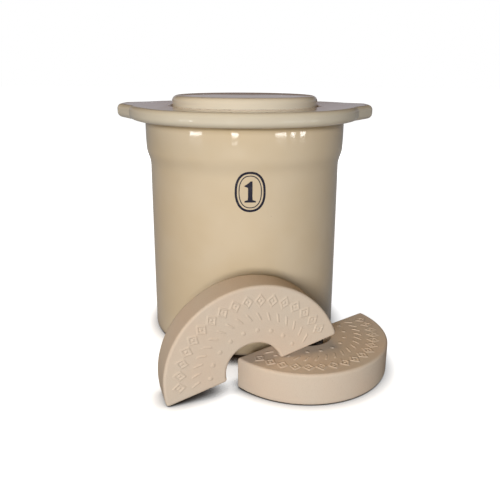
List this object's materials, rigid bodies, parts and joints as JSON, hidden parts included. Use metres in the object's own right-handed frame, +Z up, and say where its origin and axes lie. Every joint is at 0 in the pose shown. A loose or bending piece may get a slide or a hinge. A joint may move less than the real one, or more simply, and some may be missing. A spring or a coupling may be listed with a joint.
{
  "type": "water seal crock",
  "caption": "Glazed stoneware pickling crock with a water channel round its neck, a loose flat lid that stands in the channel, and half-moon weights with notched edges.",
  "frame": {"origin": "centre of the crock's flat foot, on the surface that it stands on", "axes": "+Z up along the crock's axis, -Y to the front, where the weights are, and +X to the right, 2 degrees from the line of the two ears"},
  "size_m": [0.2405, 0.2759, 0.2233],
  "materials": {
    "cream_glaze": "gloss",
    "lid_glaze": "gloss",
    "bare_stoneware": "matt, unglazed",
    "capacity_mark": "print under the glaze"
  },
  "bodies": {
    "crock": {"crock": "cream_glaze"},
    "lid": {"lid": "lid_glaze"},
    "flat_weight": {"flat_weight": "bare_stoneware"},
    "leaning_weight": {"leaning_weight": "bare_stoneware"}
  },
  "joints": [
    {"name": "lid_lift", "type": "slide", "parent": "crock", "child": "lid", "axis": [0, 0, 1], "range_m": [0, 0.12]},
    {"name": "flat_weight_slide", "type": "slide", "parent": "crock", "child": "flat_weight", "axis": [0.606, -0.7955, 0], "range_m": [0, 0.12]},
    {"name": "leaning_weight_lift", "type": "slide", "parent": "crock", "child": "leaning_weight", "axis": [0, 0, 1], "range_m": [0, 0.15]}
  ]
}
